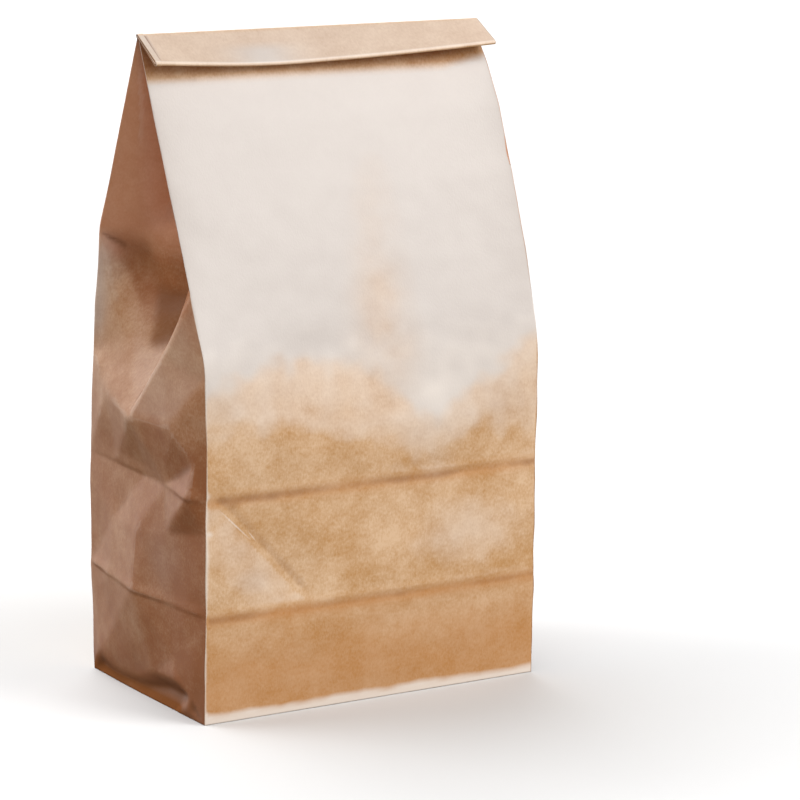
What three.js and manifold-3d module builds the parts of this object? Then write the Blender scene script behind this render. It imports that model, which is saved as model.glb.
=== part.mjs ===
// A filled block-bottom kraft paper bag, standing, its mouth closed by folding it over twice.
// One sheet makes the panels, the tucked side gussets, the folded base and the rolled top,
// so it is one solid. Millimetres, +Z up; the base is centred on the origin, the front faces -Y.
import * as THREE from "three";
import { mergeVertices } from "three/addons/utils/BufferGeometryUtils.js";
import Module from "manifold-3d";

const lerp = THREE.MathUtils.lerp;
const rad = THREE.MathUtils.degToRad;

// Sheet and overall size
const PANEL_WIDTH = 156; // front and back panels, between the gusset folds
const GUSSET_WIDTH = 102; // each side gusset, pulled flat
const RIDGE_HEIGHT = 274; // top of the rolled mouth
const PLY = 0.25; // one sheet with the glue and air under it
const LAP_SEAM = 4; // glued lap along the left edge of the back panel

// Crease heights
const BASE_FOLD = 46; // left by the base lying flat against the back panel
const STACK_FOLD = 94; // left where the bag was bent in its bundle
const DENT_DROP = 16; // lower edge of the dent beside the front panel, below the stack fold
const FRONT_SHOULDER = 146; // the front panel starts to lean back
const BACK_RISE = 44; // the back panel leans forward from this far above the front shoulder
const APEX_DROP = 27.5; // the gusset bulges up to this far below the front shoulder
const TUCK_ABOVE = 27; // this far above it the gusset is tucked behind the front panel
const TUCK_SAG = 8; // the middle of the tucked row lies lower than its fold edge
const TUCK_RISE = 9; // the fold edges turn in over this height

// How far the fill pushes the paper out, and how far the panels have moved
const PANEL_BELLY = 5;
const BASE_BULGE = 6;
const DENT_BULGE = 2;
const WAIST_BULGE = 0.5;
const APEX_BULGE = 7.5;
const BACK_LEAN = 11.5; // the back panel has come forward at its shoulder
const RIGHT_BOW = 5; // the right edge of the front roof bows forward

// Rolled mouth
const STACK = 0.7; // both panels with the gusset plies pressed flat between them
const NECK_SPREAD = 0.25; // each panel springs out this far where the pressed mouth ends
const SLIT = 0.2; // left open between the gusset plies at the neck
const ROLL_OVERHANG = 0.75; // the pressed mouth is this much wider than the bag at each end
const FLAP_RUN = 15; // flat of the flap, from the ridge bend to the lower bend
const FLAP_ANGLES = [[0, rad(54)], [0.3, rad(42)], [1, rad(62)]]; // off the vertical, along the ridge
const ROLL_STATIONS = [0.1, 0.2, 0.3, 0.45, 0.6, 0.75, 0.9, 1]; // sections along the ridge
const FLAP_GAP = 0.5; // between the flap and the mouth tucked under it
const RIDGE_GAP = 0.5; // inside the ridge bend
const TUCK_CLEARANCE = 0.6; // the tucked mouth edge to the front panel
const NECK_DROP = 2.4; // neck below the ridge
const LAP_STEP = 0.12; // the lap seam stands proud of the flap

// Base
const RIM = 1.4; // rounded-off edge of the base
const FLAP_INSET = 0.4; // the glued flaps end this far inside the rim
const BASE_LAP = 12; // the back flap of the base laps past the middle
const EMBED = 0.2; // plies sink this far into the body they are glued to

const HALF_WIDTH = PANEL_WIDTH / 2;
const HALF_DEPTH = GUSSET_WIDTH / 2;
const NECK = RIDGE_HEIGHT - NECK_DROP;
const NECK_HALF = STACK / 2 + NECK_SPREAD;
const FOLD_EDGE = NECK_HALF - SLIT / 2;
const ROLL_WIDTH = PANEL_WIDTH + 2 * ROLL_OVERHANG;
const BODY_BASE = 2 * PLY;
const DENT_ROW = STACK_FOLD - DENT_DROP;
const GUSSET_APEX = FRONT_SHOULDER - APEX_DROP;
const FRONT_TUCK = FRONT_SHOULDER + TUCK_ABOVE;
const GUSSET_TUCK = FRONT_TUCK - TUCK_SAG;
const BACK_SHOULDER = FRONT_SHOULDER + BACK_RISE;
const ROOF_ROW = (BACK_SHOULDER + TUCK_RISE + NECK) / 2;

// Creases of the left gusset that are not in the regular fold: [share of half depth, height, out]
const DENT_VALLEY = [-0.45, DENT_ROW - 3, 0.8];
const DENT_PEAK = [-0.84, STACK_FOLD, 3];
const LEDGE = [-0.53, GUSSET_APEX + 1, 4];
const BACK_DIAGONAL = [0.51, GUSSET_APEX + 7, 3];
const BACK_STRIP = [0.6, GUSSET_TUCK + 4.5, -2];

const wasm = await Module();
wasm.setup();

// Edge of the front panel: upright to its shoulder, then straight to the neck.
function frontEdge(z) {
  const share = Math.max(0, (z - FRONT_SHOULDER) / (NECK - FRONT_SHOULDER));
  return lerp(-HALF_DEPTH, -NECK_HALF, share);
}

// Edge of the back panel: upright, drawn forward above the stack fold, then the back slope.
function backEdge(z) {
  if (z >= BACK_SHOULDER) {
    const share = (z - BACK_SHOULDER) / (NECK - BACK_SHOULDER);
    return lerp(HALF_DEPTH - BACK_LEAN, NECK_HALF, share);
  }
  const share = Math.max(0, (z - STACK_FOLD) / (BACK_SHOULDER - STACK_FOLD));
  return HALF_DEPTH - BACK_LEAN * share;
}

// Forward bow of the front roof, nothing at the left edge and full at the right.
function roofBow(s, z) {
  const share = THREE.MathUtils.clamp((z - FRONT_SHOULDER) / (NECK - FRONT_SHOULDER), 0, 1);
  return RIGHT_BOW * Math.sin(Math.PI * share) * (0.5 + 0.5 * s);
}

// The gusset keeps its paper width, so it goes in as the two panels come together.
function tuckDepth(z) {
  const halfGap = (backEdge(z) - frontEdge(z)) / 2;
  return Math.sqrt(Math.max(0, HALF_DEPTH ** 2 - halfGap ** 2));
}

// Front to back across one gusset: fold edge, crease, middle, crease, fold edge.
// Each point is [y, height, out]; a crease without a place of its own lies halfway.
function gusset(row, creases, frontY, backY) {
  const middleY = (frontEdge(row.middle) + backEdge(row.middle)) / 2;
  const front = [frontY + FOLD_EDGE, row.front, 0];
  const middle = [middleY, row.middle, row.bulge];
  const back = [backY - FOLD_EDGE, row.back, 0];
  const crest = row.crest ?? middle;
  const halfway = (edge) => edge.map((value, i) => (value + crest[i]) / 2);
  const placed = (crease) => [crease[0] * HALF_DEPTH, crease[1], crease[2]];
  const frontCrease = creases?.front ? placed(creases.front) : halfway(front);
  const backCrease = creases?.back ? placed(creases.back) : halfway(back);
  return [front, frontCrease, middle, backCrease, back];
}

// One crease row round the bag, counter-clockwise from the front left edge.
function creaseRow(row) {
  const inset = row.inset ?? 0;
  const x = HALF_WIDTH - inset;
  const frontY = (s) => frontEdge(row.front) + inset - roofBow(s, row.front);
  const backY = backEdge(row.back) - inset;
  const swell = (s) => row.belly * Math.cos((s * Math.PI) / 2);
  const lap = (x - LAP_SEAM) / x;
  const points = [-1, -0.5, 0, 0.5, 1].map((s) => [s * x, frontY(s) - swell(s), row.front]);
  for (const [y, z, out] of gusset(row, null, frontY(1), backY)) {
    points.push([x + out, y, z]);
  }
  for (const s of [1, 0.5, 0, -0.5, -lap]) {
    points.push([s * x, backY + swell(s), row.back]);
  }
  points.push([-lap * x, backY + swell(lap) + PLY, row.back]);
  points.push([-x, backY + PLY, row.back]);
  for (const [y, z, out] of gusset(row, row.left, frontY(-1), backY).reverse()) {
    points.push([-x - out, y, z]);
  }
  return points.map(([px, py, pz]) => new THREE.Vector3(px, py, pz));
}

function level(z, bulge, belly, rest) {
  return creaseRow({ front: z, middle: z, back: z, bulge, belly, ...rest });
}

function bagRows() {
  const apexY = (frontEdge(GUSSET_APEX) + backEdge(GUSSET_APEX)) / 2;
  return [
    level(BODY_BASE, 0, 0, { inset: RIM }),
    level(BODY_BASE + RIM, 0, 0),
    level(BASE_FOLD / 2, BASE_BULGE / 2, 0.4 * PANEL_BELLY, {
      crest: [0, BASE_FOLD / 2, BASE_BULGE],
    }),
    level(BASE_FOLD, BASE_BULGE, 0.7 * PANEL_BELLY),
    level(DENT_ROW, DENT_BULGE, 0.9 * PANEL_BELLY, { left: { front: DENT_VALLEY } }),
    level(STACK_FOLD, WAIST_BULGE, PANEL_BELLY, { left: { front: DENT_PEAK } }),
    creaseRow({
      front: FRONT_SHOULDER,
      middle: GUSSET_APEX,
      back: FRONT_SHOULDER,
      bulge: APEX_BULGE,
      belly: PANEL_BELLY,
      left: { front: LEDGE, back: BACK_DIAGONAL },
    }),
    creaseRow({
      front: FRONT_TUCK,
      middle: GUSSET_APEX + TUCK_RISE,
      back: BACK_SHOULDER,
      bulge: 0.4 * APEX_BULGE,
      crest: [apexY, GUSSET_APEX, APEX_BULGE],
      belly: 0.8 * PANEL_BELLY,
      left: { back: BACK_STRIP },
    }),
    creaseRow({
      front: FRONT_TUCK + TUCK_RISE,
      middle: GUSSET_TUCK,
      back: BACK_SHOULDER + TUCK_RISE,
      bulge: -tuckDepth(GUSSET_TUCK),
      belly: 0.8 * PANEL_BELLY,
    }),
    level(ROOF_ROW, -tuckDepth(ROOF_ROW), 0.5 * PANEL_BELLY),
    level(NECK, -tuckDepth(NECK), 0),
  ];
}

// Faces that close a row all round to its hub.
function fan(first, count, hub) {
  const faces = [];
  for (let k = 0; k < count; k += 1) {
    faces.push([hub, first + k, first + ((k + 1) % count)]);
  }
  return faces;
}

// Faces that close the row of a strip, from one side of the strip to the other.
function ladder(first, count) {
  const faces = [];
  for (let k = 0; k + 1 < count / 2; k += 1) {
    const a = first + k;
    const d = first + count - 1 - k;
    faces.push([a, a + 1, d - 1], [a, d - 1, d]);
  }
  return faces;
}

// Paper skin over closed rows of equal count. Each cell is creased from its lower left corner
// to its upper right one where climbs(station) holds, else the other way. The end rows close
// to the two hubs, or from side to side where there are none.
function skin(rows, climbs, hubs = []) {
  const count = rows[0].length;
  const last = (rows.length - 1) * count;
  const hub = rows.length * count;
  const faces = [];
  for (let a = 0; a < last; a += 1) {
    const k = a % count;
    const b = a - k + ((k + 1) % count);
    const c = b + count;
    const d = a + count;
    faces.push(...(climbs(k, count) ? [[a, b, c], [a, c, d]] : [[a, b, d], [b, c, d]]));
  }
  const bottom = hubs.length ? fan(0, count, hub) : ladder(0, count);
  const top = hubs.length ? fan(last, count, hub + 1) : ladder(last, count);
  faces.push(...bottom.map((face) => face.reverse()), ...top);
  const geometry = new THREE.BufferGeometry().setFromPoints([...rows.flat(), ...hubs]);
  geometry.setIndex(faces.flat());
  return geometry;
}

// In the front half of the right gusset and the back half of the left one the creases climb
// away from the panel along the row, so that both gussets are creased from edge to middle.
function bagSkin() {
  const climbs = (k, count) => (k >= 5 && k < 7) || (k >= count - 5 && k < count - 3);
  const hubs = [new THREE.Vector3(0, 0, BODY_BASE), new THREE.Vector3(0, 0, NECK)];
  return skin(bagRows(), climbs, hubs);
}

// Outline of a strip of even thickness along a path of points.
function strip(points, thickness) {
  const sides = [1, -1].map((side) =>
    points.map((p, i) => {
      const before = points[Math.max(0, i - 1)];
      const after = points[Math.min(points.length - 1, i + 1)];
      const along = after.clone().sub(before).normalize();
      const normal = new THREE.Vector2(-along.y, along.x);
      return p.clone().addScaledVector(normal, (side * thickness) / 2);
    }),
  );
  return [...sides[1], ...sides[0].reverse()];
}

function flapAngle(share) {
  const after = FLAP_ANGLES.findIndex(([at]) => at >= share);
  if (after <= 0) {
    return FLAP_ANGLES[0][1];
  }
  const [from, first] = FLAP_ANGLES[after - 1];
  const [to, second] = FLAP_ANGLES[after];
  return THREE.MathUtils.mapLinear(share, from, to, first, second);
}

// Section of the mouth: up from the neck, over the ridge, down the flap, back up underneath.
// The mouth edge is tucked as far as the flap that lies closest to the panel has room for.
function mouthPath(angle) {
  const ridgeRadius = (STACK + RIDGE_GAP) / 2;
  const lowerRadius = (STACK + FLAP_GAP) / 2;
  const slope = Math.atan2(HALF_DEPTH - NECK_HALF, NECK - FRONT_SHOULDER);
  const closest = Math.min(...FLAP_ANGLES.map(([, value]) => value));
  const folded = 2 * lowerRadius + STACK + TUCK_CLEARANCE;
  const tuckRun = FLAP_RUN - folded / Math.sin(closest - slope);
  const down = new THREE.Vector2(-Math.sin(angle), -Math.cos(angle));
  const under = new THREE.Vector2(-down.y, down.x);
  const turned = Math.PI - angle;
  const bend = new THREE.Vector2(-ridgeRadius, RIDGE_HEIGHT - STACK / 2 - ridgeRadius);
  const flapTop = new THREE.Vector2(Math.cos(turned), Math.sin(turned))
    .multiplyScalar(ridgeRadius)
    .add(bend);
  const flapEnd = flapTop.clone().addScaledVector(down, FLAP_RUN);
  const turn = flapEnd.clone().addScaledVector(under, lowerRadius);
  const mouth = turn.clone().addScaledVector(under, lowerRadius).addScaledVector(down, -tuckRun);
  const path = new THREE.Path();
  path.moveTo(0, NECK - EMBED);
  path.lineTo(0, bend.y);
  path.absarc(bend.x, bend.y, ridgeRadius, 0, turned, false);
  path.lineTo(flapEnd.x, flapEnd.y);
  path.absarc(turn.x, turn.y, lowerRadius, turned, turned + Math.PI, false);
  path.lineTo(mouth.x, mouth.y);
  return path.getPoints(6);
}

function mouthSection(share, thickness) {
  const outline = strip(mouthPath(flapAngle(share)), thickness);
  return outline.map((p) => new THREE.Vector3(p.x, p.y, (share - 0.5) * ROLL_WIDTH));
}

// Rolled mouth along the ridge, from the doubled paper of the lap seam to the right end.
function rolledMouth() {
  const lapEnd = LAP_SEAM / ROLL_WIDTH;
  const lap = [0, lapEnd].map((share) => mouthSection(share, STACK + 2 * LAP_STEP));
  const rest = [lapEnd, ...ROLL_STATIONS].map((share) => mouthSection(share, STACK));
  const roll = skin([...lap, ...rest], () => true);
  const yAxis = new THREE.Vector3(0, 1, 0);
  const zAxis = new THREE.Vector3(0, 0, 1);
  const xAxis = new THREE.Vector3(1, 0, 0);
  return roll.applyMatrix4(new THREE.Matrix4().makeBasis(yAxis, zAxis, xAxis));
}

function ply(outline, underside) {
  const shape = new THREE.Shape(outline.map(([x, y]) => new THREE.Vector2(x, y)));
  const depth = BODY_BASE + EMBED - underside;
  return new THREE.ExtrudeGeometry(shape, { depth, bevelEnabled: false }).translate(0, 0, underside);
}

// Block bottom: the ends fold in first, then the front flap, and the back flap is glued over it.
function baseFlaps() {
  const x = HALF_WIDTH - RIM - FLAP_INSET;
  const y = HALF_DEPTH - RIM - FLAP_INSET;
  const mitre = x - y;
  const frontFlap = [[-x, -y], [x, -y], [mitre, 0], [-mitre, 0]];
  const backFlap = [[x, y], [-x, y], [-mitre, 0], [-mitre, -BASE_LAP], [mitre, -BASE_LAP], [mitre, 0]];
  return [ply(frontFlap, PLY), ply(backFlap, 0)];
}

function toSolid(geometry) {
  const bare = new THREE.BufferGeometry();
  bare.setAttribute("position", geometry.getAttribute("position"));
  bare.setIndex(geometry.getIndex());
  const welded = mergeVertices(bare, 1e-4);
  const mesh = new wasm.Mesh({
    numProp: 3,
    vertProperties: new Float32Array(welded.getAttribute("position").array),
    triVerts: new Uint32Array(welded.getIndex().array),
  });
  return new wasm.Manifold(mesh);
}

function toGeometry(solid) {
  const mesh = solid.getMesh();
  const geometry = new THREE.BufferGeometry();
  geometry.setAttribute("position", new THREE.BufferAttribute(mesh.vertProperties, 3));
  geometry.setIndex(new THREE.BufferAttribute(mesh.triVerts, 1));
  geometry.computeVertexNormals();
  return geometry;
}

const pieces = [bagSkin(), rolledMouth(), ...baseFlaps()].map(toSolid);
const kraftPaper = new THREE.MeshStandardMaterial({ color: 0xc9a078, roughness: 0.75, metalness: 0 });
const bag = new THREE.Mesh(toGeometry(wasm.Manifold.union(pieces)), kraftPaper);
bag.name = "paper_bag";

const group = new THREE.Group();
group.name = "pet_food_bag";
group.add(bag);

export default group;
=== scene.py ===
"""Filled pet food bag of brown machine-glazed kraft paper, its mouth folded over twice to the front.

The bag is one sheet: a front and a back panel, two gussets that tuck in towards the top, a block bottom
and a rolled mouth.  Its skin is laid out as the flat sheet, with columns round the bag and rows from the
base to the cut mouth, and each spot of paper is then put where the folds carry it.  Lengths in the tables
are millimetres: x across the front, y from front to back and z up.
"""

import math

import bmesh
import bpy
import numpy as np
from mathutils import Matrix, Vector, noise
from mathutils.geometry import delaunay_2d_cdt


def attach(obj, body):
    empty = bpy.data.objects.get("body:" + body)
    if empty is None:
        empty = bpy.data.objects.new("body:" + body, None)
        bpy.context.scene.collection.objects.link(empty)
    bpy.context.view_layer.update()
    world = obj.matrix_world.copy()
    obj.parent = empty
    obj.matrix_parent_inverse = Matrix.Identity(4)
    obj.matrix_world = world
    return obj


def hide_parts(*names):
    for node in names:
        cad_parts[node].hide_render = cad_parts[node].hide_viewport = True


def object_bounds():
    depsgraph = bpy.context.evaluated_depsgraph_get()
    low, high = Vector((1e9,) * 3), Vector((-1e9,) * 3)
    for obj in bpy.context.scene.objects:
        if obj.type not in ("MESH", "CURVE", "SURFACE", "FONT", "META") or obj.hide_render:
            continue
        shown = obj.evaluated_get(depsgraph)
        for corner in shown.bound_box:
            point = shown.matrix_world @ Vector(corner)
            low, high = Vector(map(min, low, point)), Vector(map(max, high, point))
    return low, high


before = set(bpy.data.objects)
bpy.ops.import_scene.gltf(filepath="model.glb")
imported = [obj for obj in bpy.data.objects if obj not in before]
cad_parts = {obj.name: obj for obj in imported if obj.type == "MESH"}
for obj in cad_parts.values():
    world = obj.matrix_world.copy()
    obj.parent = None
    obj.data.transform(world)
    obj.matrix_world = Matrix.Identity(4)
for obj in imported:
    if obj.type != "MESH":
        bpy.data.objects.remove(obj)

bl_info = {
    "name": "Kraft paper food bag",
    "version": (1, 0, 0),
    "blender": (4, 5, 0),
    "location": "View3D > Sidebar > Paper Bag",
    "description": "Builds a filled block-bottom paper bag with a rolled mouth",
    "category": "Add Mesh",
}

CAD_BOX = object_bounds()
MM = 0.001

# Sizes that the tables below are drawn to.  The skin is stretched from these to the sizes in the panel.
HALF_PANEL = 78.0
HALF_GUSSET = 51.0
RIDGE = 274.1167

# Neck, where the rolled mouth starts: its height, and the paper from the base edge up to it.
NECK = RIDGE - 3.3
NECK_UP = 281.6

# Heights of the fold lines that cross the whole bag, from when it was packed flat.
BASE_FOLD = 45.0
STACK_FOLD = 93.4

# Dent in the front panel, a soft valley from the left fold down to the base fold: its two ends as (x, z).
DENT = ((-74, 95), (-28, 45))

# Lap seam of the sheet, along the left of the back panel: where its outer edge runs and how high it stands.
LAP_EDGE = -75.3
LAP_STEP = 0.22

# How far each panel stands out from its straight lines, by height on the sheet: along its left fold, in its
# middle and along its right fold.  The filling pushes it out above and below the stack fold.
FRONT_SWELL = (
    [(0, 0), (45, 2.1), (93.4, 4.1), (118, 4.7), (148, 3.5), (195, 1.5), (222, 1.0), (246, 0.2), (282, 0)],
    [(0, 0), (16, 1.4), (45, 3.6), (93.4, 4.0), (118, 6.0), (150, 5.6), (183, 5.8), (213, 5.4), (243, 4.0),
     (268, 1.2), (282, 0)],
    [(0, 0), (45, 0.9), (93.4, 1.7), (118, 2.8), (147, 3.4), (183, 6.5), (213, 7.4), (243, 7.1), (262, 4.2),
     (273, 1.0), (282, 0)])
BACK_SWELL = (
    [(0, 0.2), (45, 1.6), (93.4, 0.6), (146, 1.2), (190, -0.4), (218, -0.4), (282, 0)],
    [(0, 0), (16, 1.2), (45, 3.0), (93.4, 1.6), (125, 3.8), (190, 2.8), (240, 1.6), (282, 0)],
    [(0, 0), (45, 1.2), (93.4, 0.4), (146, 1.0), (190, 0.4), (240, 0.4), (282, 0)])

# Crease net of the left gusset: place on the flat gusset (from its middle line towards the back, and up
# from the base), then where the filling and the folds leave that spot (y, z, and out from the panel edges).
LEFT_NET = {
    "base_front": (-51, 0, -51, 0, 0),
    "base_mid_front": (-24, 0, -24, 0, 0.3),
    "base_mid": (2, 0, 2, 0, 0.6),
    "base_mid_back": (30, 0, 30, 0, 0.4),
    "base_back": (51, 0, 51, 0, 0),
    "foot_back_low": (45, 3.5, 45, 3.5, -1.6),
    "foot_1_low": (27, 3, 27, 3, 0.2),
    "foot_2_low": (3, 3.5, 3, 3.5, -1.2),
    "foot_3_low": (-17, 8, -17, 8, -2.5),
    "foot_4_low": (-30, 7.5, -30, 7.5, -2.8),
    "foot_flap": (-37, 5, -37, 5, 1.6),
    "foot_front_low": (-45, 4, -45, 4, -0.4),
    "foot_back": (40, 10, 40, 10.5, 2.4),
    "foot_1": (25, 7, 25, 7, 1.4),
    "foot_2": (6, 7.5, 6, 7.5, 1.4),
    "foot_3": (-9, 12.5, -9, 12.5, 2.6),
    "foot_4": (-31, 14.5, -31, 14.5, 3.2),
    "foot_front": (-40, 10.5, -40, 10.5, 1.6),
    "diagonal_back": (25, 24, 25, 24.5, 3.4),
    "diagonal_front": (-26, 23.5, -26, 23.5, 2.6),
    "fold2_front": (-51, 45, -51, 45, 0),
    "fold2_mid_front": (-24, 46, -24, 46, 3.2),
    "fold2_mid": (0, 47.5, 0, 47.5, 7.2),
    "fold2_mid_back": (26, 47, 26, 47, 4.0),
    "fold2_back": (51, 47, 51, 47, 0),
    "spine": (0, 71, 0, 71, 5.2),
    "flat_back": (26, 72, 26, 72, 1.4),
    "dent_low": (-24, 75.5, -23, 75, 3.2),
    "dent_edge": (-51, 81, -51, 81, 0),
    "fold1_front": (-51, 93, -51, 93, 0),
    "dent_high": (-43, 93.5, -43, 93.5, 5.2),
    "fold1_mid_front": (-20, 94, -20, 94, 1.2),
    "fold1_mid": (0, 94.5, 0, 94.5, -0.4),
    "fold1_mid_back": (26, 95.5, 26, 95.5, 0.3),
    "fold1_back": (51, 96.5, 51, 96.5, 0),
    "tip": (-45, 107, -44.5, 107, 2.6),
    "ledge": (-29, 119.5, -30, 119.6, 6.2),
    "apex": (0, 118.5, 0, 118.5, 8.0),
    "diagonal_high": (26, 125.5, 26, 125.5, 4.6),
    "ledge_edge": (-51, 141, -51, 141, 0),
    "diagonal_edge": (51, 139.5, 46.2, 139, 0),
    "ridge_mid": (-25, 147, -21, 146, 3.6),
    "ridge_kink": (-43, 166, -35, 164.5, 2.2),
    "ridge_edge": (-51, 175, -40.3, 172.9, 0),
    "valley_low": (0, 125, 0, 123.5, 5.0),
    "valley_1": (0, 147, -3, 146, -14),
    "valley_slot": (0, 158, -2.5, 156, -21.5),
    "valley_2": (0, 170, -3, 167, -25),
    "valley_3": (0, 197, -2, 191, -29),
    "valley_4": (0, 232, 0, 224, -43),
    "valley_5": (0, 268, 0, 259, -50.2),
    "valley_top": (0, 281.6, 0, 271.6, -51),
    "band": (26, 138, 25.5, 137, -0.6),
    "floor_low": (12, 137, 10, 136, -0.6),
    "floor": (22, 150, 19, 149, -3.6),
    "floor_in": (7, 150, 4.5, 148.5, -13),
    "floor_top": (28, 165, 24, 163, -8.5),
    "floor_top_in": (13, 167, 9.5, 164, -18.5),
    "slot": (8, 158, 4, 156, -16.5),
    "crease_foot": (42, 168, 32.5, 167, -2.2),
    "pinch": (33, 182, 28, 180, -15),
    "soft_ridge": (24, 196, 20.5, 189.5, -14),
    "notch": (51, 190.7, 39.5, 190, 0),
    "roof_front": (-51, 281.6, -0.6, 271.6, 0),
    "roof_back": (51, 281.6, 0.6, 271.6, 0),
}

LEFT_CREASES = [
    ("foot_back_low", "foot_1_low"), ("foot_1_low", "foot_2_low"), ("foot_2_low", "foot_3_low"),
    ("foot_3_low", "foot_4_low"), ("foot_4_low", "foot_flap"), ("foot_flap", "foot_front_low"),
    ("foot_back", "foot_1"), ("foot_1", "foot_2"), ("foot_2", "foot_3"), ("foot_3", "foot_4"),
    ("foot_4", "foot_front"),
    ("base_back", "foot_back"), ("foot_back", "diagonal_back"), ("diagonal_back", "fold2_mid"),
    ("base_front", "foot_front"), ("foot_front", "diagonal_front"), ("diagonal_front", "fold2_mid"),
    ("fold2_front", "fold2_mid_front"), ("fold2_mid_front", "fold2_mid"),
    ("fold2_mid", "fold2_mid_back"), ("fold2_mid_back", "fold2_back"),
    ("fold2_mid", "spine"), ("spine", "fold1_mid"),
    ("dent_edge", "dent_low"), ("dent_low", "dent_high"), ("dent_edge", "dent_high"),
    ("fold1_front", "dent_high"), ("dent_high", "fold1_mid_front"), ("fold1_mid_front", "fold1_mid"),
    ("fold1_mid", "fold1_mid_back"), ("fold1_mid_back", "fold1_back"),
    ("fold1_mid_front", "tip"), ("tip", "dent_high"),
    ("ledge_edge", "ledge"), ("ledge", "apex"), ("apex", "diagonal_high"),
    ("diagonal_high", "diagonal_edge"), ("apex", "ridge_mid"), ("ridge_mid", "ridge_kink"),
    ("ridge_kink", "ridge_edge"), ("apex", "valley_low"), ("valley_low", "valley_1"),
    ("valley_1", "valley_slot"), ("valley_slot", "valley_2"), ("valley_2", "valley_3"),
    ("valley_3", "valley_4"), ("valley_4", "valley_5"), ("valley_5", "valley_top"),
    ("notch", "soft_ridge"), ("notch", "crease_foot"), ("crease_foot", "floor_top"),
    ("floor_top", "floor_top_in"), ("band", "diagonal_edge"),
]

# The right gusset was folded the same way and holds fewer crumples.
RIGHT_NET = {
    "base_front": (-51, 0, -51, 0, 0),
    "base_mid": (0, 0, 0, 0, 0.6),
    "base_back": (51, 0, 51, 0, 0),
    "diagonal_back": (26, 23, 26, 23, 3.5),
    "diagonal_front": (-24, 24, -24, 24, 3.5),
    "fold2_front": (-51, 46, -51, 46, 0),
    "fold2_mid_front": (-25, 46.5, -25, 46.5, 3.4),
    "fold2_mid": (1, 47, 1, 47, 6),
    "fold2_mid_back": (26, 46, 26, 46, 3),
    "fold2_back": (51, 46, 51, 46, 0),
    "spine": (0, 70, 0, 70, 3.4),
    "flat_front": (-27, 70, -27, 70, 1.8),
    "flat_back": (24, 74, 24, 74, 1.4),
    "fold1_front": (-51, 94, -51, 94, 0),
    "fold1_mid_front": (-26, 95, -26, 95, 0.8),
    "fold1_mid": (0, 94, 0, 94, 0.4),
    "fold1_mid_back": (27, 93, 27, 93, 0.6),
    "fold1_back": (51, 94, 51, 94, 0),
    "ledge": (-25, 122, -25, 122, 4.0),
    "apex": (0, 118, 0, 118, 7.2),
    "ledge_back": (26, 124, 26, 124, 3.4),
    "ledge_edge": (-51, 138, -51, 138, 0),
    "ledge_back_edge": (51, 141, 46, 140.5, 0),
    "ridge_mid": (-25, 149, -22, 147, 3.4),
    "ridge_edge": (-51, 178, -39.2, 175.7, 0),
    "ridge_mid_back": (26, 146, 24, 144.5, 2.6),
    "ridge_back_edge": (51, 172, 41.6, 171.5, 0),
    "valley_low": (0, 124, 0, 122, 2.2),
    "valley_1": (0, 148, 0, 147, -12),
    "valley_2": (0, 170, 0, 166, -25),
    "valley_3": (0, 197, 0, 190, -35.6),
    "valley_4": (0, 232, 0, 224, -43),
    "valley_5": (0, 268, 0, 259, -50.2),
    "valley_top": (0, 281.6, 0, 271.6, -51),
    "roof_front": (-51, 281.6, -0.6, 271.6, 0),
    "roof_back": (51, 281.6, 0.6, 271.6, 0),
}

RIGHT_CREASES = [
    ("base_back", "diagonal_back"), ("diagonal_back", "fold2_mid"),
    ("base_front", "diagonal_front"), ("diagonal_front", "fold2_mid"),
    ("fold2_front", "fold2_mid_front"), ("fold2_mid_front", "fold2_mid"),
    ("fold2_mid", "fold2_mid_back"), ("fold2_mid_back", "fold2_back"),
    ("fold2_mid", "spine"), ("spine", "fold1_mid"),
    ("fold1_front", "fold1_mid_front"), ("fold1_mid_front", "fold1_mid"),
    ("fold1_mid", "fold1_mid_back"), ("fold1_mid_back", "fold1_back"),
    ("ledge_edge", "ledge"), ("ledge", "apex"), ("apex", "ledge_back"), ("ledge_back", "ledge_back_edge"),
    ("apex", "ridge_mid"), ("ridge_mid", "ridge_edge"),
    ("apex", "ridge_mid_back"), ("ridge_mid_back", "ridge_back_edge"),
    ("apex", "valley_low"), ("valley_low", "valley_1"), ("valley_1", "valley_2"), ("valley_2", "valley_3"),
    ("valley_3", "valley_4"), ("valley_4", "valley_5"), ("valley_5", "valley_top"),
]

# Flap of the rolled mouth: its angle off the vertical along the ridge, from the left end (0) to the right
# end (1).
FLAP_ANGLES = [(0.0, 52.0), (0.33, 36.0), (0.66, 45.0), (1.0, 58.0)]

# Left and right end of the roll, at the neck and then at the end of each part of its path.
ROLL_ENDS = ([-78.7, -79.3, -79.7, -78.2, -78.2, -78.8], [78.7, 79.3, 79.8, 80.4, 80.4, 79.6])
ROLL_PARTS = {"rise": 2, "ridge": 10, "flap": 14, "under": 9, "tuck": 6}

# Radius of the paper's middle where the mouth turns over the ridge, and where its edge tucks under.
RIDGE_BEND = 0.78
UNDER_BEND = 0.5

# Half the thickness of the pressed mouth, from the front panel to the back panel.
HALF_STACK = 0.36

# Lean of each panel above its shoulder, in degrees, and the lip and hollow that the packing folds leave
# on it.
FRONT_LEAN = 21.3
BACK_LEAN = 25.5
FRONT_PLEAT = (0.17, 0.27)
BACK_PLEAT = (0.3, 0.45)

# Block bottom: how far the paper runs in under the bottom edge, how far the ends and flaps stay inside it in
# x and y, how far the flaps cross the middle line, and the underside and top of each layer.
EDGE_TUCK = 2.2
FLAP_INSET = (3.4, 4.6)
FLAP_LAP = 6
END_LAYER = (0.3, 0.5)
FLAP_LAYERS = ((0.16, 0.34), (0.0, 0.18))

# Small waves in the paper: share, size and seed of each.
COCKLE = [(1, 26, 3), (0.45, 9, 11)]

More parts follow.
